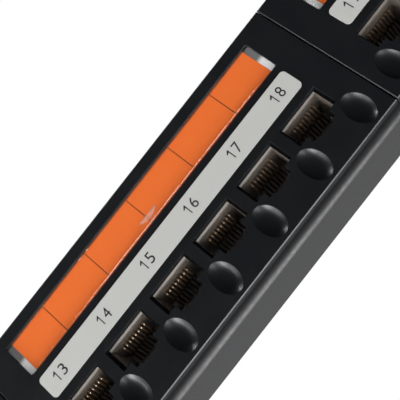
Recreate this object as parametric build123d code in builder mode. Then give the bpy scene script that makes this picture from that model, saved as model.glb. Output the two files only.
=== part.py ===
# 24-port 19 inch patch panel, one rack unit high, built up from four six-port modules.
#
# Frame: X runs along the panel towards the higher port numbers, +Z is up, and the front
# looks along -Y. The origin is the middle of the four rack slots, on the rear face of the ears,
# where the panel meets the rack rails. All sizes are in millimetres.

import os
from math import cos, pi, radians, sin, tan

from build123d import *

os.makedirs("parts", exist_ok=True)

# Driving dimensions: folded steel panel
panel_width = 482.6
panel_height = 43.7
sheet = 1.2
bend_inside = 0.8
flange_depth = 21.0
flange_length = 436.0
relief_width = 1.6
relief_height = 2.6
ear_corner = 2.0
slot_spacing_x = 465.1
slot_spacing_z = 31.75
slot_length = 10.3
slot_height = 6.8

# Driving dimensions: module and its moulded bezel
module_count = 4
ports_per_module = 6
port_pitch = 15.875
module_pitch = 107.5
module_gap = 0.2
bezel_height = 40.7
bezel_rim = 3.0
bezel_plate = 1.6
bezel_top_step = 0.75
edge_break = 0.25
cutout_lap = 3.1
skirt_wall = 1.5
skirt_reach = 3.0
hook_width = 8.0
hook_height = 0.9
hook_length = 2.2
hook_spacing = 80.0
arm_width = 6.0
arm_catch = 0.8
arm_tip = 1.6
arm_spacing = 50.0

# Driving dimensions: label, its clear cover and number sticker, measured down from the bezel top
cover_top = 3.3
cover_length = 91.2
cover_height = 9.4
cover_thickness = 0.9
cover_bevel = 0.45
label_end_gap = 1.7
label_edge_gap = 0.35
label_thickness = 0.3
nail_width = 6.0
nail_height = 1.2
nail_depth = 0.5
nail_rise = 1.1
strip_top = 14.85
strip_length = 90.7
strip_height = 6.3
strip_thickness = 0.2
strip_corner = 1.1

# Driving dimensions: eight-way sockets, measured down from the bezel top
opening_top = 23.45
opening_width = 12.9
opening_height = 6.4
opening_key_width = 7.6
opening_key_height = 1.8
opening_latch_width = 4.6
opening_latch_height = 0.6
jack_width = 15.0
jack_depth = 15.0
jack_roof = 1.2
jack_floor = 1.0
jack_back = 2.2
socket_width = 11.5
socket_height = 6.5
socket_key_width = 6.3
socket_key_height = 1.5
socket_latch_width = 3.3
socket_latch_height = 0.6
socket_lead_in = 0.5

# Driving dimensions: spring contacts
contact_count = 8
contact_pitch = 1.02
contact_width = 0.46
contact_thickness = 0.4
contact_setback = 3.0
contact_slope = 36.0
contact_drop = 4.3

# Driving dimensions: oval dishes between the sockets
dish_width = 6.0
dish_height = 8.9
dish_middle = 34.95
dish_depth = 1.2
dish_facets = 14
dish_rim = 0.1
dish_slope = 1.3
dish_ease = 0.6

# Driving dimensions: circuit board
board_length = 98.0
board_thickness = 1.6

# Driving dimensions: punch-down blocks behind the board
ways_per_block = 24
way_pitch = 3.8
way_width = 1.3
way_depth = 6.0
block_end = 2.4
block_height = 11.0
block_depth = 13.0
block_tip_height = 6.0
block_shoulder = 5.5
block_spacing = 17.1

# Clearances
slip = 0.1
cutout_slip = 0.2

# Levels worked out from the sizes above, along Y from the mounting face and along Z from the middle
panel_front = -sheet
face = panel_front - bezel_rim
bezel_top = panel_height / 2 - bezel_top_step
bezel_width = module_pitch - module_gap
jack_front = face + bezel_plate
jack_rear = jack_front + jack_depth
board_rear = jack_rear + board_thickness
block_rear = board_rear + block_depth
cutout_width = bezel_width - 2 * cutout_lap
cutout_height = bezel_height - 2 * cutout_lap
skirt_width = cutout_width - 2 * cutout_slip
skirt_height = cutout_height - 2 * cutout_slip
pocket_width = skirt_width - 2 * skirt_wall
pocket_height = skirt_height - 2 * skirt_wall
board_height = pocket_height - 2 * slip
label_top = cover_top + label_edge_gap
label_length = cover_length - 2 * label_end_gap
label_height = cover_height - 2 * label_edge_gap
recess_depth = cover_thickness + label_thickness
socket_top = opening_top + socket_lead_in
jack_top = opening_top - jack_roof
socket_low = socket_top + socket_height + socket_key_height + socket_latch_height
jack_height = socket_low + jack_floor - jack_top
block_length = (ways_per_block - 1) * way_pitch + way_width + 2 * block_end

module_middles = [(n - (module_count - 1) / 2) * module_pitch for n in range(module_count)]
port_places = [(n - (ports_per_module - 1) / 2) * port_pitch for n in range(ports_per_module)]
dish_places = [(n - ports_per_module / 2) * port_pitch for n in range(ports_per_module + 1)]
dish_turns = [2 * pi * n / dish_facets for n in range(dish_facets)]
hook_places = [-hook_spacing / 2, hook_spacing / 2]
arm_places = [-arm_spacing / 2, arm_spacing / 2]
contact_places = [(n - (contact_count - 1) / 2) * contact_pitch for n in range(contact_count)]
block_rows = {
    "upper": bezel_top - (bezel_height - block_spacing) / 2,
    "lower": bezel_top - (bezel_height + block_spacing) / 2,
}


def upright(level, middle=0):
    """Plane facing the front at a level along Y, with its origin at the top middle of a module."""
    return Plane(origin=(middle, level, bezel_top), x_dir=(1, 0, 0), z_dir=(0, -1, 0))


def draw_box(place, top, width, height):
    """Rectangle hung from a distance below the bezel top."""
    with Locations((place, -top - height / 2)):
        Rectangle(width, height)


def draw_socket(place, top, width, height, key_width, key_height, latch_width, latch_height):
    """Outline of an eight-way socket: the body, then the two narrower steps for the latch."""
    draw_box(place, top, width, height)
    draw_box(place, top, key_width, height + key_height)
    draw_box(place, top, latch_width, height + key_height + latch_height)


# Folded steel panel: a shallow channel with flat ears, cut out for the four modules
with BuildPart() as chassis:
    with BuildSketch(Plane.YZ.offset(-flange_length / 2)) as channel_section:
        with BuildLine():
            tip = panel_front + flange_depth
            half = panel_height / 2
            Polyline(
                (tip, half), (panel_front, half), (panel_front, -half), (tip, -half),
                (tip, sheet - half), (0, sheet - half), (0, half - sheet), (tip, half - sheet),
                close=True,
            )
        make_face()
        columns = channel_section.vertices().group_by(Axis.X)
        fillet(columns[1], bend_inside)
        fillet(channel_section.vertices().group_by(Axis.X)[0], bend_inside + sheet)
    extrude(amount=flange_length)
    ear = (panel_width - flange_length) / 2
    with BuildSketch(Plane.XZ) as ear_outline:
        with Locations((-(flange_length + ear) / 2, 0), ((flange_length + ear) / 2, 0)):
            Rectangle(ear, panel_height)
        ends = ear_outline.vertices().group_by(Axis.X)
        fillet(ends[0] + ends[-1], ear_corner)
        relief_x = (flange_length + relief_width) / 2
        relief_z = (panel_height - relief_height) / 2
        with GridLocations(2 * relief_x, 2 * relief_z, 2, 2):
            Rectangle(relief_width, relief_height, mode=Mode.SUBTRACT)
    extrude(amount=sheet)
    with BuildSketch(Plane.XZ):
        with GridLocations(slot_spacing_x, slot_spacing_z, 2, 2):
            SlotOverall(slot_length, slot_height)
    extrude(amount=sheet, mode=Mode.SUBTRACT)
    for middle in module_middles:
        with BuildSketch(upright(panel_front, middle)):
            draw_box(0, cutout_lap, cutout_width, cutout_height)
        extrude(amount=-sheet, mode=Mode.SUBTRACT)
chassis.part.label = "chassis_panel"
export_step(chassis.part, "parts/chassis_panel.step")

# What one oval dish takes out of the bezel: a bowl of two rings of facets, coarse as it repeats
with BuildPart() as dish:
    with BuildSketch(upright(face)):
        with BuildLine():
            Polyline(
                *[
                    (dish_width / 2 * cos(turn), dish_height / 2 * sin(turn) - dish_middle)
                    for turn in dish_turns
                ],
                close=True,
            )
        make_face()
    extrude(amount=-dish_depth)
    dish_floor = dish.faces().sort_by(Axis.Y)[-1]
    chamfer(dish_floor.edges(), dish_slope, dish_depth - dish_rim, reference=dish_floor)
    chamfer(dish.faces().sort_by(Axis.Y)[-1].edges(), dish_ease)

# Moulded front of one module: a rimmed plate with a skirt that goes through the steel
with BuildPart() as bezel:
    with BuildSketch(upright(panel_front)):
        draw_box(0, 0, bezel_width, bezel_height)
    extrude(amount=bezel_rim)
    chamfer(bezel.edges().group_by(Axis.Y)[0], edge_break)
    with BuildSketch(upright(panel_front)):
        draw_box(0, cutout_lap + cutout_slip, skirt_width, skirt_height)
    extrude(amount=-(sheet + skirt_reach))
    with BuildSketch(upright(jack_front)):
        draw_box(0, cutout_lap + cutout_slip + skirt_wall, pocket_width, pocket_height)
    extrude(amount=-(bezel_rim + sheet + skirt_reach), mode=Mode.SUBTRACT)
    # Hooks that spring out behind the steel, and arms that catch the circuit board
    for side in (1, -1):
        middle_height = bezel_top - bezel_height / 2
        root = middle_height + side * skirt_height / 2
        inner_root = root - side * skirt_wall
        with BuildSketch(*[Plane.YZ.offset(place - hook_width / 2) for place in hook_places]):
            with BuildLine():
                Polyline(
                    (slip, root), (slip, root + side * hook_height), (slip + hook_length, root),
                    close=True,
                )
            make_face()
        extrude(amount=hook_width)
        with BuildSketch(*[Plane.YZ.offset(place - arm_width / 2) for place in arm_places]):
            with BuildLine():
                Polyline(
                    (skirt_reach, root), (board_rear + arm_tip, root),
                    (board_rear + arm_tip, inner_root), (board_rear, inner_root - side * arm_catch),
                    (board_rear, inner_root), (skirt_reach, inner_root), close=True,
                )
            make_face()
        extrude(amount=arm_width)
    # Recess for the label under its cover
    with BuildSketch(upright(face)):
        draw_box(0, cover_top - slip, cover_length + 2 * slip, cover_height + 2 * slip)
    extrude(amount=-recess_depth, mode=Mode.SUBTRACT)
    # Socket openings
    with BuildSketch(upright(face)):
        for place in port_places:
            draw_socket(
                place, opening_top, opening_width, opening_height,
                opening_key_width, opening_key_height, opening_latch_width, opening_latch_height,
            )
    extrude(amount=-bezel_rim, mode=Mode.SUBTRACT)
    with Locations(*[(place, 0, 0) for place in dish_places]):
        add(dish.part, mode=Mode.SUBTRACT)

# Clear snap-in cover of one label, bevelled all round, with the half-moon for a fingernail
with BuildPart() as cover:
    with BuildSketch(upright(face)):
        draw_box(0, cover_top, cover_length, cover_height)
    extrude(amount=-cover_thickness)
    chamfer(cover.edges().group_by(Axis.Y)[0], cover_bevel)
    chord = nail_rise + nail_height - cover_top - cover_height
    with BuildSketch(upright(face)):
        with BuildLine():
            Line((-nail_width / 2, chord), (nail_width / 2, chord))
            ThreePointArc((-nail_width / 2, chord), (0, chord - nail_height), (nail_width / 2, chord))
        make_face()
    extrude(amount=-nail_depth, mode=Mode.SUBTRACT)

# Paper label strip, laid on the floor of the recess under its cover
with BuildPart() as label:
    with BuildSketch(upright(face + recess_depth)):
        draw_box(0, label_top, label_length, label_height)
    extrude(amount=label_thickness)

# Number strip, a sticker on the face of the bezel
with BuildPart() as strip:
    with BuildSketch(upright(face)):
        with Locations((0, -strip_top - strip_height / 2)):
            RectangleRounded(strip_length, strip_height, strip_corner)
    extrude(amount=strip_thickness)

# Circuit board that carries the jacks in front and the punch-down blocks behind
with BuildPart() as board:
    with BuildSketch(upright(jack_rear)):
        draw_box(0, (bezel_height - board_height) / 2, board_length, board_height)
    extrude(amount=-board_thickness)

# Jack housing: a box with the stepped socket, bevelled where the plug meets its roof
roof = bezel_top - socket_top
with BuildPart() as jack:
    with BuildSketch(upright(jack_front)):
        draw_box(0, jack_top, jack_width, jack_height)
    extrude(amount=-jack_depth)
    with BuildSketch(upright(jack_front)):
        draw_socket(
            0, socket_top, socket_width, socket_height,
            socket_key_width, socket_key_height, socket_latch_width, socket_latch_height,
        )
    extrude(amount=-(jack_depth - jack_back), mode=Mode.SUBTRACT)
    with BuildSketch(Plane.YZ.offset(-socket_width / 2)):
        with BuildLine():
            Polyline(
                (jack_front, roof), (jack_front, roof + socket_lead_in),
                (jack_front + socket_lead_in, roof), close=True,
            )
        make_face()
    extrude(amount=socket_width, mode=Mode.SUBTRACT)

# One spring contact: it comes out of the socket roof and slopes down to the back
nose = jack_front + contact_setback
run = contact_drop / tan(radians(contact_slope))
foot = contact_thickness / sin(radians(contact_slope))
with BuildPart() as contact:
    with BuildSketch(Plane.YZ.offset(-contact_width / 2)):
        with BuildLine():
            Polyline(
                (nose, roof), (nose + foot, roof), (nose + foot + run, roof - contact_drop),
                (nose + run, roof - contact_drop), close=True,
            )
        make_face()
    extrude(amount=contact_width)

# Punch-down block: a tapered comb with one slot for each wire
with BuildPart() as block:
    with BuildSketch(Plane.YZ.offset(-block_length / 2)):
        base = block_height / 2
        tip = block_tip_height / 2
        shoulder = board_rear + block_shoulder
        with BuildLine():
            Polyline(
                (board_rear, base), (shoulder, base), (block_rear, tip),
                (block_rear, -tip), (shoulder, -base), (board_rear, -base), close=True,
            )
        make_face()
    extrude(amount=block_length)
    with BuildSketch(Plane.XZ.offset(-block_rear)):
        with GridLocations(way_pitch, 0, ways_per_block, 1):
            Rectangle(way_width, block_height)
    extrude(amount=way_depth, mode=Mode.SUBTRACT)


def place_copy(piece, x, name, z=0):
    """Write one copy of a piece, moved to its place in the panel."""
    copy = Pos(x, 0, z) * piece.part
    copy.label = name
    export_step(copy, f"parts/{name}.step")


def place_group(places, name):
    """Write like pieces that share a node, each as a solid of its own."""
    group = Compound(label=name, children=[Pos(x, 0, z) * solid for solid, x, z in places])
    export_step(group, f"parts/{name}.step")


for number, middle in enumerate(module_middles, start=1):
    place_copy(bezel, middle, f"module_bezel_{number}")
    place_copy(cover, middle, f"label_cover_{number}")
    place_copy(label, middle, f"label_strip_{number}")
    place_copy(strip, middle, f"number_strip_{number}")
    place_copy(board, middle, f"circuit_board_{number}")
    for row, height in block_rows.items():
        place_copy(block, middle, f"punch_block_{row}_{number}", height)
    for port, place in enumerate(port_places, start=1 + (number - 1) * ports_per_module):
        place_copy(jack, middle + place, f"jack_housing_{port:02d}")
    wires = [(contact.solid(), middle + x + n, 0) for x in port_places for n in contact_places]
    place_group(wires, f"jack_contacts_{number}")
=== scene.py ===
"""Looks of the 24-port patch panel, built around its solids. Metres, in the solids' own frame:
+X runs along the panel towards the higher port numbers, +Z is up and the front looks along -Y."""

from math import cos, radians, sin, tan

import bmesh
import bpy
from mathutils import Matrix, Vector


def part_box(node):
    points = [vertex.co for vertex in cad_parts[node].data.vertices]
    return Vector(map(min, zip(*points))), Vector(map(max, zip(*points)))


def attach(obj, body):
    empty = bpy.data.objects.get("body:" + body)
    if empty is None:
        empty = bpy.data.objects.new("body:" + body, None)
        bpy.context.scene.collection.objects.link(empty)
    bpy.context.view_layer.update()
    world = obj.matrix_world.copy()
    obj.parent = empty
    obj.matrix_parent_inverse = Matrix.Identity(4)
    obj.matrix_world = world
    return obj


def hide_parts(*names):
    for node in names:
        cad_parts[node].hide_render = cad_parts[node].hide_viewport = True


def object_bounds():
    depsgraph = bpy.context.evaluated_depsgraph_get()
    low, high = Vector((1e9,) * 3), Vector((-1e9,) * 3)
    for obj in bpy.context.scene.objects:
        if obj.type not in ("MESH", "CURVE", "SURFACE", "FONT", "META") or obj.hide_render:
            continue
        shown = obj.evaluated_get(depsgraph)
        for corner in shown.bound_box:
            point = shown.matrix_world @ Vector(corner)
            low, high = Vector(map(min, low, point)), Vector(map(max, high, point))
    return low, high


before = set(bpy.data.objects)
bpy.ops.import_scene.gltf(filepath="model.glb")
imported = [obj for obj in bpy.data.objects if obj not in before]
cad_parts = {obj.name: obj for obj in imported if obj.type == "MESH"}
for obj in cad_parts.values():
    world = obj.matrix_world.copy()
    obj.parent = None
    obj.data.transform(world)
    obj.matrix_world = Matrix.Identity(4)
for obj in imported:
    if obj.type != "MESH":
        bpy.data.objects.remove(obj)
solid_low, solid_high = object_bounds()


# Folded steel panel
# One sheet of 1.2 mm steel, punched, folded into a shallow channel and powder coated in satin
# black. Its two flanges stiffen it, and its flat ears bolt to the rack.
mm = 0.001
weld_distance = 0.002 * mm
flat_turn = radians(0.3)
rounded_turn = radians(30)
crease_turn = radians(35)
noise_low, noise_high = 0.3, 0.7
panel_edge = 0.15 * mm
coat_waves = 0.02 * mm


def join_flat_faces(shape):
    """Joins the faces that lie in one plane."""
    bmesh.ops.dissolve_limit(shape, angle_limit=flat_turn, verts=shape.verts, edges=shape.edges)


def merge_solid(node):
    """A bmesh of a solid with its triangles merged into whole faces."""
    shape = bmesh.new()
    shape.from_mesh(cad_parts[node].data)
    bmesh.ops.remove_doubles(shape, verts=shape.verts, dist=weld_distance)
    join_flat_faces(shape)
    return shape


def round_edges(shape, radius):
    """Rounds every edge between faces that turn sharply."""
    shape.normal_update()
    edges = [
        edge
        for edge in shape.edges
        if len(edge.link_faces) == 2 and edge.calc_face_angle(0) > rounded_turn
    ]
    bmesh.ops.bevel(
        shape, geom=edges, offset=radius, segments=2, profile=0.5,
        affect="EDGES", clamp_overlap=True, material=-1,
    )


def make_mesh(shape, name):
    """A mesh of a bmesh, which is freed."""
    mesh = bpy.data.meshes.new(name)
    shape.to_mesh(mesh)
    shape.free()
    return mesh


def add_object(name, data):
    """Puts a mesh, curve, lamp or camera in the scene."""
    added = bpy.data.objects.new(name, data)
    bpy.context.scene.collection.objects.link(added)
    return added


def finish_piece(shape, name, material, *nodes):
    """Makes a smooth-shaded piece that rides on the panel and stands for its solids, if any."""
    mesh = make_mesh(shape, name)
    mesh.materials.append(material)
    mesh.shade_smooth()
    mesh.set_sharp_from_angle(angle=crease_turn)
    piece = add_object(name, mesh)
    flats = piece.modifiers.new("flats", "WEIGHTED_NORMAL")
    flats.keep_sharp = True
    flats.weight = 100
    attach(piece, "root")
    if nodes:
        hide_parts(*nodes)
    return piece


def start_material(name, colour, roughness, specular=0.5):
    """A material with a Principled shader, and its nodes and links."""
    material = bpy.data.materials.new(name)
    material.use_nodes = True
    nodes = material.node_tree.nodes
    shader = nodes["Principled BSDF"]
    shader.inputs["Base Color"].default_value = (*colour, 1)
    shader.inputs["Roughness"].default_value = roughness
    shader.inputs["Specular IOR Level"].default_value = specular
    return material, nodes, material.node_tree.links, shader


def add_noise(nodes, links, scale, detail):
    """A noise texture on object coordinates, with its scale in waves per metre."""
    place = nodes.new("ShaderNodeTexCoord")
    noise = nodes.new("ShaderNodeTexNoise")
    noise.inputs["Scale"].default_value = scale
    noise.inputs["Detail"].default_value = detail
    links.new(place.outputs["Object"], noise.inputs["Vector"])
    return noise


def add_bump(nodes, links, shader, noise, height, strength):
    """Raises the surface by up to a height where the noise is bright."""
    bump = nodes.new("ShaderNodeBump")
    bump.inputs["Strength"].default_value = strength
    bump.inputs["Distance"].default_value = height
    links.new(noise.outputs["Fac"], bump.inputs["Height"])
    links.new(bump.outputs["Normal"], shader.inputs["Normal"])


def vary(nodes, links, noise, low, high, socket):
    """Spreads the middle of a noise between two values of a socket."""
    spread = nodes.new("ShaderNodeMapRange")
    spread.inputs["From Min"].default_value = noise_low
    spread.inputs["From Max"].default_value = noise_high
    spread.inputs["To Min"].default_value = low
    spread.inputs["To Max"].default_value = high
    links.new(noise.outputs["Fac"], spread.inputs["Value"])
    links.new(spread.outputs["Result"], socket)


paint, nodes, links, shader = start_material("panel_paint", (0.016, 0.0165, 0.0175), 0.42)
orange_peel = add_noise(nodes, links, 900, 3)
add_bump(nodes, links, shader, orange_peel, coat_waves, 0.5)
vary(nodes, links, orange_peel, 0.38, 0.50, shader.inputs["Roughness"])

steel = merge_solid("chassis_panel")
round_edges(steel, panel_edge)
panel = finish_piece(steel, "folded_panel", paint, "chassis_panel")


# Bezels
# Black moulded plastic with a fine spark-eroded texture, one for each six ports. Hooks hold it in
# its cut-out, and each socket has an oval dish in the face at either side of its latch.
dish_width = 6.0 * mm
dish_height = 8.9 * mm
dish_depth = 1.25 * mm
dish_lip = 0.11 * mm
dish_fullness = 3
dish_steps = 9
dish_step_spread = 1.3
dish_segments = 56
dish_drop = 34.95 * mm
lip_rings = [(1.06, -dish_depth), (1.06, -0.01 * mm), (1.04, 0.01 * mm), (1.02, 0.05 * mm)]
skin = 0.01 * mm
spark_texture = 0.02 * mm
bezel_edge = 0.03 * mm
module_count = 4
ports_per_module = 6

bezel_plastic, nodes, links, shader = start_material(
    "bezel_plastic", (0.0035, 0.0045, 0.0062), 0.4, 0.6
)
texture = add_noise(nodes, links, 5200, 2)
add_bump(nodes, links, shader, texture, spark_texture, 0.6)
tint = add_noise(nodes, links, 160, 3)
vary(nodes, links, tint, 0.36, 0.44, shader.inputs["Roughness"])


def middle(node):
    """Middle of a solid's box."""
    low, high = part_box(node)
    return (low + high) / 2


def port_spacing():
    """Distance from one socket to the next."""
    return middle("jack_housing_02").x - middle("jack_housing_01").x


def fill_plain_dishes(shape, places, front):
    """Takes the faceted dishes of the solid out of the face, and closes the face over them."""
    facets = [
        face
        for face in shape.faces
        for place in places
        if skin < face.calc_center_median().y - front < dish_depth
        and abs(face.calc_center_median().x - place.x) < dish_width / 2
        and abs(face.calc_center_median().z - place.z) < dish_height / 2
    ]
    bmesh.ops.delete(shape, geom=facets, context="FACES")
    rims = [edge for edge in shape.edges if edge.is_boundary]
    bmesh.ops.holes_fill(shape, edges=rims, sides=0)
    join_flat_faces(shape)


def make_bowls(places):
    """A bmesh of smooth oval bowls with soft lips, to carve out of the face."""
    bowls = bmesh.new()
    # Each ring is a share of the oval and a depth, from in front of the face to the floor of a bowl
    rings = list(lip_rings)
    for step in range(dish_steps + 1):
        reach = 1 - (step / (dish_steps + 1)) ** dish_step_spread
        rings.append((reach, dish_lip + (dish_depth - dish_lip) * (1 - reach ** dish_fullness)))
    for place in places:
        loops = []
        for step, (reach, level) in enumerate(rings):
            oval = Matrix.Diagonal((dish_width / 2 * reach, dish_height / 2 * reach, 1, 1))
            made = bmesh.ops.create_circle(
                bowls, cap_ends=step in (0, len(rings) - 1), segments=dish_segments, radius=1,
                matrix=Matrix.Translation(place + Vector((0, level, 0)))
                @ Matrix.Rotation(radians(90), 4, "X") @ oval,
            )
            loops.append({edge for vert in made["verts"] for edge in vert.link_edges})
        for outer, inner in zip(loops, loops[1:]):
            bmesh.ops.bridge_loops(bowls, edges=list(outer | inner))
    bmesh.ops.recalc_face_normals(bowls, faces=bowls.faces)
    return bowls


def bake_mesh(item):
    """The mesh of an object once its curve or modifiers have done their work."""
    graph = bpy.context.evaluated_depsgraph_get()
    return bpy.data.meshes.new_from_object(item.evaluated_get(graph))


def cut_dishes(shape, module):
    """Carves smooth dishes in place of the plain ones of the solid."""
    low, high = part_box(f"module_bezel_{module}")
    places = [
        Vector((
            (low.x + high.x) / 2 + (step - ports_per_module / 2) * port_spacing(),
            low.y,
            high.z - dish_drop,
        ))
        for step in range(ports_per_module + 1)
    ]
    fill_plain_dishes(shape, places, low.y)
    cutter = add_object("cutter", make_mesh(make_bowls(places), "cutter"))
    blank = add_object("blank", make_mesh(shape.copy(), "blank"))
    carve = blank.modifiers.new("carve", "BOOLEAN")
    carve.operation = "DIFFERENCE"
    carve.object = cutter
    carve.solver = "EXACT"
    carved = bake_mesh(blank)
    shape.clear()
    shape.from_mesh(carved)
    for item in (cutter, blank):
        bpy.data.objects.remove(item)


for module in range(1, module_count + 1):
    moulding = merge_solid(f"module_bezel_{module}")
    cut_dishes(moulding, module)
    round_edges(moulding, bezel_edge)
    bezel = finish_piece(moulding, f"bezel_{module}", bezel_plastic, f"module_bezel_{module}")


# Label strips
# Orange card, printed with a thin dark line at each port's edge so that it can be cut apart. It
# lies in a recess of the bezel, under the clear cover. Thin pale sheets past its ends carry a
# painted reflection of the cover's ends, white in their lower part and grey above.
fibre_height = 0.01 * mm
line_width = 0.22 * mm
line_shift = -0.6 * mm
line_rise = 0.01 * mm
card_gap = 0.04 * mm
painted_reflection_reach = 1.55 * mm
painted_reflection_inset = 0.15 * mm
painted_reflection_thickness = 0.2 * mm
painted_reflection_top = 12.9 * mm
painted_reflection_fade = 0.7 * mm
painted_reflection_white = (0.85, 0.85, 0.85)
painted_unlit_grey = (0.16, 0.16, 0.16)


def add_ramp(nodes, links, axis, level, reach, low, high):
    """A colour that changes from one to another about a level of an object coordinate."""
    place = nodes.new("ShaderNodeTexCoord")
    along = nodes.new("ShaderNodeSeparateXYZ")
    share = nodes.new("ShaderNodeMapRange")
    share.interpolation_type = "SMOOTHSTEP"
    share.inputs["From Min"].default_value = level - reach
    share.inputs["From Max"].default_value = level + reach
    blend = nodes.new("ShaderNodeMix")
    blend.data_type = "RGBA"
    blend.inputs["A"].default_value = (*low, 1)
    blend.inputs["B"].default_value = (*high, 1)
    links.new(place.outputs["Object"], along.inputs["Vector"])
    links.new(along.outputs[axis], share.inputs["Value"])
    links.new(share.outputs["Result"], blend.inputs["Factor"])
    return blend.outputs["Result"]


label_card, nodes, links, shader = start_material("label_card", (0.87, 0.165, 0.022), 0.75, 0.3)
fibres = add_noise(nodes, links, 2500, 3)
add_bump(nodes, links, shader, fibres, fibre_height, 0.3)
label_ink, nodes, links, shader = start_material("label_ink", (0.12, 0.025, 0.008), 0.7, 0.3)
# Painted reflection: the sheets past the card's ends are white low down, where the cover's ends
# reflect light from below, and grey above.
painted_end_reflection, nodes, links, shader = start_material("painted_end_reflection", painted_reflection_white, 0.6, 0.3)
shade = add_ramp(
    nodes, links, "Z", painted_reflection_top, painted_reflection_fade, painted_reflection_white, painted_unlit_grey
)
links.new(shade, shader.inputs["Base Color"])


def add_block(shape, low, high):
    """Adds a plain block between two corners."""
    size = high - low
    bmesh.ops.create_cube(
        shape, size=1, matrix=Matrix.Translation((low + high) / 2) @ Matrix.Diagonal((*size, 1))
    )


for module in range(1, module_count + 1):
    name = f"label_strip_{module}"
    low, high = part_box(name)
    front = low.y + card_gap
    card = bmesh.new()
    add_block(card, Vector((low.x, front, low.z)), high)
    label = finish_piece(card, f"orange_label_{module}", label_card, name)
    lines = bmesh.new()
    centre = (low.x + high.x) / 2 + line_shift
    for step in range(1, ports_per_module):
        x = centre + (step - ports_per_module / 2) * port_spacing()
        add_block(
            lines,
            Vector((x - line_width / 2, front - line_rise, low.z)),
            Vector((x + line_width / 2, front + line_rise, high.z)),
        )
    finish_piece(lines, f"label_lines_{module}", label_ink)
    # Pale sheets past both ends of the card, which carry the painted reflection of the cover's
    # ends.
    painted_reflections = bmesh.new()
    for side, end in ((-1, low.x), (1, high.x)):
        inner = Vector((end, high.y - painted_reflection_thickness, low.z + painted_reflection_inset))
        outer = Vector((end + side * painted_reflection_reach, high.y, high.z - painted_reflection_inset))
        add_block(painted_reflections, inner, outer)
    finish_piece(painted_reflections, f"painted_end_reflection_{module}", painted_end_reflection)


# Label covers
# Clear polished plastic, snapped into the recess over the label. A half-moon at its lower edge
# takes a fingernail, to lift it out.
acrylic_index = 1.49
cover_edge = 0.12 * mm
nail_width = 6.0 * mm
nail_depth = 0.5 * mm
nail_slack = 0.05 * mm
nail_bottom = 0.75 * mm
nail_top = 2.5 * mm

cover_plastic, nodes, links, shader = start_material("cover_plastic", (0.98, 0.98, 0.98), 0.04, 0.3)
shader.inputs["Transmission Weight"].default_value = 1
shader.inputs["IOR"].default_value = acrylic_index
frosted_plastic, nodes, links, shader = start_material("frosted_plastic", (0.98, 0.95, 0.93), 0.4)
shader.inputs["Transmission Weight"].default_value = 0.87
shader.inputs["IOR"].default_value = acrylic_index

for module in range(1, module_count + 1):
    name = f"label_cover_{module}"
    low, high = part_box(name)
    corner = Vector((middle(name).x, low.y, low.z))
    window = merge_solid(name)
    round_edges(window, cover_edge)
    for face in window.faces:
        spot = face.calc_center_median() - corner
        frosted = (
            abs(spot.x) < nail_width / 2
            and nail_slack < spot.y < nail_depth + nail_slack
            and nail_bottom < spot.z < nail_top
        )
        face.material_index = 1 if frosted else 0
    cover = finish_piece(window, f"clear_cover_{module}", cover_plastic, name)
    cover.data.materials.append(frosted_plastic)
    cover.visible_shadow = False
    cover.visible_diffuse = False


# Number strips
# Light grey film stuck to the face, with the port numbers printed in black above their sockets.
# The numerals are plain, narrow and a little further apart than the sockets.
numeral_height = 2.85 * mm
numeral_width = 1.62 * mm
numeral_pitch = 2.15 * mm
numeral_bottom = 19.3 * mm
number_spacing = 16.03 * mm
number_shift = -0.25 * mm
ink_depth = 0.01 * mm
stem_width = 0.27 * mm
flag_rise = 0.3 * stem_width
flag_reach = 0.72 * mm
flag_drop = 0.75 * mm

number_film, nodes, links, shader = start_material("number_film", (0.505, 0.51, 0.488), 0.5)
number_ink, nodes, links, shader = start_material("number_ink", (0.02, 0.02, 0.02), 0.5)


def draw_one():
    """A flat mesh of the numeral 1: a stem with a slanted flag and no foot."""
    one = bmesh.new()
    top = numeral_height
    outline = [
        (0, 0), (stem_width, 0), (stem_width, top), (flag_rise, top),
        (-flag_reach, top - flag_drop), (-flag_reach, top - flag_drop - stem_width),
        (0, top - flag_drop + flag_rise),
    ]
    one.faces.new([one.verts.new((across, 0, up)) for across, up in outline])
    return make_mesh(one, "one")


def draw_figure(figure):
    """A flat mesh of any other numeral, stretched to the size that they share."""
    text = bpy.data.curves.new("figure", "FONT")
    text.body = figure
    word = add_object("figure", text)
    mesh = bake_mesh(word)
    low = Vector(word.bound_box[0])
    size = Vector(word.bound_box[6]) - low
    stretch = Matrix.Diagonal((numeral_width / size.x, numeral_height / size.y, 1, 1))
    start = Matrix.Translation((-numeral_width / 2, 0, 0))
    upright = Matrix.Rotation(radians(90), 4, "X")
    mesh.transform(start @ upright @ stretch @ Matrix.Translation(-low))
    bpy.data.objects.remove(word)
    return mesh


def print_number(shape, number, x, front, bottom):
    """Adds a port number, as flat ink on the film."""
    figures = str(number)
    for step, figure in enumerate(figures):
        mesh = draw_one() if figure == "1" else draw_figure(figure)
        across = x + (step - (len(figures) - 1) / 2) * numeral_pitch
        mesh.transform(Matrix.Translation((across, front, bottom)))
        shape.from_mesh(mesh)


for module in range(1, module_count + 1):
    name = f"number_strip_{module}"
    film = merge_solid(name)
    strip = finish_piece(film, f"number_film_{module}", number_film, name)
    low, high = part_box(name)
    bezel_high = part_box(f"module_bezel_{module}")[1]
    numbers = bmesh.new()
    for step in range(ports_per_module):
        x = middle(name).x + number_shift + (step - (ports_per_module - 1) / 2) * number_spacing
        port = (module - 1) * ports_per_module + step + 1
        print_number(numbers, port, x, low.y - ink_depth, bezel_high.z - numeral_bottom)
    finish_piece(numbers, f"port_numbers_{module}", number_ink)


# Jack housings
# Black moulded boxes soldered to the circuit board, each with the stepped socket of an eight-way
# plug. Their fronts stand against the inside of the bezel, and the socket is lined in grey beige.
jack_edge = 0.06 * mm
jack_grain = 0.01 * mm
wall_thickness = 0.5 * mm
front_skin = 0.05 * mm

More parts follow.
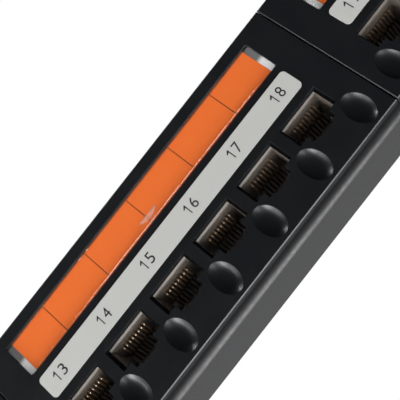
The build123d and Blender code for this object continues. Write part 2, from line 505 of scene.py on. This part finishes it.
jack_plastic, nodes, links, shader = start_material(
    "jack_plastic", (0.003, 0.003, 0.0035), 0.6, 0.15
)
grain = add_noise(nodes, links, 1800, 2)
add_bump(nodes, links, shader, grain, jack_grain, 0.4)
roof_plastic, nodes, links, shader = start_material("roof_plastic", (0.19, 0.165, 0.14), 0.35)
grain = add_noise(nodes, links, 1500, 2)
add_bump(nodes, links, shader, grain, jack_grain, 0.4)

for port in range(1, module_count * ports_per_module + 1):
    name = f"jack_housing_{port:02d}"
    housing = merge_solid(name)
    low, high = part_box(name)
    round_edges(housing, jack_edge)
    for face in housing.faces:
        spot = face.calc_center_median()
        inside = (
            low.x + wall_thickness < spot.x < high.x - wall_thickness
            and low.y + front_skin < spot.y < high.y - wall_thickness
            and low.z + wall_thickness < spot.z < high.z - wall_thickness
        )
        face.material_index = 1 if inside else 0
    jack = finish_piece(housing, f"jack_{port:02d}", jack_plastic, name)
    jack.data.materials.append(roof_plastic)


# Spring contacts
# Eight bronze wires in each jack, which slope down and back from the roof of the socket. Only
# their noses, which press on the plug, are plated with gold. Behind the gold the wire colour is a
# very dark bronze: real bare metal, painted darker as painted shade deep in the socket.
gold = (0.95, 0.68, 0.46)
bronze_painted_dark = (0.17, 0.13, 0.10)
gold_and_shade_depth = 2.0 * mm
gold_and_shade_fade = 0.5 * mm
contact_count = 8
contact_pitch = 1.02 * mm
wire_radius = 0.24 * mm
nose_radius = 0.45 * mm
wire_slope = 36
bend_steps = 7

contact_gold, nodes, links, shader = start_material("contact_gold", gold, 0.34)
shader.inputs["Metallic"].default_value = 1
# Painted shade: behind their noses the wires turn from gold to a bronze far darker than bare metal,
# for the shade deep in the socket.
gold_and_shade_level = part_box("jack_contacts_1")[0].y + gold_and_shade_depth
gold_and_shade_colour = add_ramp(nodes, links, "Y", gold_and_shade_level, gold_and_shade_fade, gold, bronze_painted_dark)
links.new(gold_and_shade_colour, shader.inputs["Base Color"])


def port_names(module):
    """Names of the jack housings of a module, in order."""
    first = (module - 1) * ports_per_module + 1
    return [f"jack_housing_{port:02d}" for port in range(first, first + ports_per_module)]


def bend_wires(name, places):
    """A bmesh of wires that leave the roof, bend round their noses and slope down and back."""
    low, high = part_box(name)
    centre = Vector((0, low.y + nose_radius + wire_radius, high.z - nose_radius - wire_radius / 2))
    path = []
    for step in range(bend_steps):
        turn = radians(90 + (180 - wire_slope) * step / (bend_steps - 1))
        path.append(centre + nose_radius * Vector((0, cos(turn), sin(turn))))
    last = path[-1]
    path.append(Vector((0, last.y + (last.z - low.z) / tan(radians(wire_slope)), low.z)))
    curve = bpy.data.curves.new("wires", "CURVE")
    curve.dimensions = "3D"
    curve.bevel_depth = wire_radius
    curve.bevel_resolution = 1
    curve.use_fill_caps = True
    for place in places:
        spline = curve.splines.new("POLY")
        spline.points.add(len(path) - 1)
        for point, spot in zip(spline.points, path):
            point.co = (place, spot.y, spot.z, 1)
    bundle = add_object("wires", curve)
    shape = bmesh.new()
    shape.from_mesh(bake_mesh(bundle))
    bpy.data.objects.remove(bundle)
    return shape


for module in range(1, module_count + 1):
    name = f"jack_contacts_{module}"
    places = [
        middle(jack).x + (step - (contact_count - 1) / 2) * contact_pitch
        for jack in port_names(module)
        for step in range(contact_count)
    ]
    contacts = finish_piece(bend_wires(name, places), f"contact_wires_{module}", contact_gold, name)


# Circuit boards
# Glass laminate with green solder mask, one behind each bezel. The jacks are soldered to its
# front and the punch-down blocks to its back.
joints_per_jack = 4
joint_rows = 2
joint_row_start = -0.25
joint_pitch = 2.04 * mm
joint_width = 1.1 * mm
joint_tip = 0.44 * mm
joint_height = 0.7 * mm

board_mask, nodes, links, shader = start_material("board_mask", (0.02, 0.13, 0.055), 0.3)
solder, nodes, links, shader = start_material("solder", (0.72, 0.71, 0.68), 0.25)
shader.inputs["Metallic"].default_value = 1

for module in range(1, module_count + 1):
    board = merge_solid(f"circuit_board_{module}")
    carrier = finish_piece(board, f"board_{module}", board_mask, f"circuit_board_{module}")
    joints = bmesh.new()
    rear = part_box(f"circuit_board_{module}")[1].y
    backwards = Matrix.Rotation(radians(-90), 4, "X")
    for jack in port_names(module):
        low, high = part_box(jack)
        for step in range(joints_per_jack):
            x = (low.x + high.x) / 2 + (step - (joints_per_jack - 1) / 2) * joint_pitch
            for row in range(joint_rows):
                spot = Vector((
                    x + row * joint_pitch / 2,
                    rear + joint_height / 2,
                    high.z + (row + joint_row_start) * joint_pitch,
                ))
                bmesh.ops.create_cone(
                    joints, cap_ends=True, segments=10, radius1=joint_width / 2,
                    radius2=joint_tip / 2, depth=joint_height,
                    matrix=Matrix.Translation(spot) @ backwards,
                )
    finish_piece(joints, f"solder_joints_{module}", solder)


# Punch-down blocks
# Black moulded combs in two rows per module. Each slot holds a plated metal clip, split down the
# middle, whose two edges cut into a wire that is pushed between them.
block_edge = 0.15 * mm
ways_per_block = 24
way_pitch = 3.8 * mm
way_width = 1.3 * mm
way_depth = 6.0 * mm
clip_slit = 0.4 * mm
clip_grip = 0.4 * mm
clip_thickness = 0.6 * mm
clip_setback = 1.2 * mm

block_plastic, nodes, links, shader = start_material("block_plastic", (0.022, 0.022, 0.024), 0.35)
clip_metal, nodes, links, shader = start_material("clip_metal", (0.74, 0.73, 0.70), 0.25)
shader.inputs["Metallic"].default_value = 1

for module in range(1, module_count + 1):
    for row in ("upper", "lower"):
        name = f"punch_block_{row}_{module}"
        comb = merge_solid(name)
        round_edges(comb, block_edge)
        block = finish_piece(comb, f"{row}_block_{module}", block_plastic, name)
        low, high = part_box(name)
        clips = bmesh.new()
        level = middle(name).z
        for way in range(ways_per_block):
            x = (low.x + high.x) / 2 + (way - (ways_per_block - 1) / 2) * way_pitch
            for side in (-1, 1):
                inner = x + side * clip_slit / 2
                outer = x + side * (way_width + clip_grip) / 2
                add_block(
                    clips,
                    Vector((min(inner, outer), high.y - way_depth, level - clip_thickness / 2)),
                    Vector((max(inner, outer), high.y - clip_setback, level + clip_thickness / 2)),
                )
        finish_piece(clips, f"{row}_clips_{module}", clip_metal)


# Floor
# A wide pale sheet just under the panel that takes its soft shadow. It can't be seen from below,
# because the photograph looks up at the panel, and it glows a little to stay pale far away.
floor_size = 6.0
floor_drop = 0.1 * mm
floor_glow = 0.6


def mix_shaders(nodes, links, share, first, second):
    """The output of two shaders, of which the share says how much is the second."""
    mix = nodes.new("ShaderNodeMixShader")
    links.new(share, mix.inputs["Fac"])
    links.new(first, mix.inputs[1])
    links.new(second, mix.inputs[2])
    return mix.outputs["Shader"]


sheet = bmesh.new()
bmesh.ops.create_grid(
    sheet, x_segments=1, y_segments=1, size=floor_size / 2,
    matrix=Matrix.Translation((0, 0, solid_low.z - floor_drop)),
)
floor = add_object("floor", make_mesh(sheet, "floor"))
floor_white, nodes, links, shader = start_material("floor_white", (0.86, 0.86, 0.86), 0.9, 0.1)
rays = nodes.new("ShaderNodeLightPath")
glow = nodes.new("ShaderNodeEmission")
clear = nodes.new("ShaderNodeBsdfTransparent")
side = nodes.new("ShaderNodeNewGeometry")
share = nodes.new("ShaderNodeMath")
share.operation = "MULTIPLY"
share.inputs[1].default_value = floor_glow
links.new(rays.outputs["Is Camera Ray"], share.inputs[0])
lit = mix_shaders(
    nodes, links, share.outputs["Value"], shader.outputs["BSDF"], glow.outputs["Emission"]
)
one_sided = mix_shaders(nodes, links, side.outputs["Backfacing"], lit, clear.outputs["BSDF"])
links.new(one_sided, nodes["Material Output"].inputs["Surface"])
floor.data.materials.append(floor_white)
floor.visible_shadow = False
floor.visible_glossy = False


# Studio
# A white room. The camera sees it white, and glossy and clear surfaces see its dim front and its
# brighter back wall. Its own light is weak, so that the lamps shape the panel.
fill_strength = 0.12
front_wall = 0.06
back_wall = 0.31
wall_turn_low, wall_turn_high = -0.1, 0.3


def combine(nodes, links, operation, first, second):
    """The output of a sum of two sockets, kept between 0 and 1."""
    result = nodes.new("ShaderNodeMath")
    result.operation = operation
    result.use_clamp = True
    links.new(first, result.inputs[0])
    links.new(second, result.inputs[1])
    return result.outputs["Value"]


world = bpy.data.worlds.new("studio")
bpy.context.scene.world = world
world.use_nodes = True
nodes, links = world.node_tree.nodes, world.node_tree.links
fill = nodes["Background"]
fill.inputs["Color"].default_value = (1, 1, 1, 1)
fill.inputs["Strength"].default_value = fill_strength
room = nodes.new("ShaderNodeBackground")
room.inputs["Color"].default_value = (1, 1, 1, 1)
rays = nodes.new("ShaderNodeLightPath")
place = nodes.new("ShaderNodeTexCoord")
direction = nodes.new("ShaderNodeSeparateXYZ")
wall = nodes.new("ShaderNodeMapRange")
wall.interpolation_type = "SMOOTHSTEP"
wall.inputs["From Min"].default_value = wall_turn_low
wall.inputs["From Max"].default_value = wall_turn_high
wall.inputs["To Min"].default_value = front_wall
wall.inputs["To Max"].default_value = back_wall
links.new(place.outputs["Generated"], direction.inputs["Vector"])
links.new(direction.outputs["Y"], wall.inputs["Value"])
camera_ray = rays.outputs["Is Camera Ray"]
strength = combine(nodes, links, "MAXIMUM", wall.outputs["Result"], camera_ray)
links.new(strength, room.inputs["Strength"])
sharp = combine(nodes, links, "ADD", camera_ray, rays.outputs["Is Glossy Ray"])
seen = combine(nodes, links, "ADD", sharp, rays.outputs["Is Transmission Ray"])
shown = mix_shaders(nodes, links, seen, fill.outputs["Background"], room.outputs["Background"])
links.new(shown, nodes["World Output"].inputs["Surface"])


# Lamps
# Square soft boxes about a metre from the panel. The key lamp stands at its left, a broad one
# below draws the bright line along the lower bend, and one above and behind lights the back.
shown_middle = (0.05, 0, 0)
whole_middle = (0, 0, 0)


def add_lamp(name, place, aim, size, power):
    """A square soft lamp that shines from one point towards another."""
    light = bpy.data.lights.new(name, "AREA")
    light.shape = "SQUARE"
    light.size = size
    light.energy = power
    lamp = add_object(name, light)
    lamp.location = place
    lamp.rotation_euler = (Vector(aim) - Vector(place)).to_track_quat("-Z", "Y").to_euler()


add_lamp("key_lamp", (-1.05, -0.36, -0.30), shown_middle, 0.55, 14.8)
add_lamp("front_lamp", (-0.15, -0.62, -0.65), shown_middle, 0.3, 1.6)
add_lamp("under_lamp", (0, -0.10, -1.08), shown_middle, 0.9, 21.5)
add_lamp("rear_lamp", (0.2, 0.5, -0.95), shown_middle, 0.9, 1.5)
add_lamp("side_lamp", (-0.92, -0.26, 0.35), shown_middle, 0.4, 3)
add_lamp("top_lamp", (-0.15, -0.10, 1.10), shown_middle, 0.2, 4)
add_lamp("back_lamp", (0.20, 0.75, 0.95), whole_middle, 0.9, 11)


# Camera
# It stands close in front of module 3 and below it, looks up at it and is rolled over, as the
# photograph was taken. Place, roll and lens were fitted to its sockets, labels and edges.
eye = Vector((60.42, -171.57, -69.39)) * mm
aim = Vector((61.84, -4.20, 2.54)) * mm
roll = radians(-52.08)
camera_data = bpy.data.cameras.new("camera")
camera_data.lens = 72.0
camera_data.sensor_width = 36.0
camera_data.shift_x = 0.0152
camera_data.shift_y = 0.0168
camera_data.clip_start = 0.01
camera = add_object("camera", camera_data)
gaze = (aim - eye).to_track_quat("-Z", "Y").to_matrix().to_4x4()
camera.matrix_world = Matrix.Translation(eye) @ gaze @ Matrix.Rotation(roll, 4, "Z")
bpy.context.scene.camera = camera
bpy.context.scene.view_settings.view_transform = "Standard"
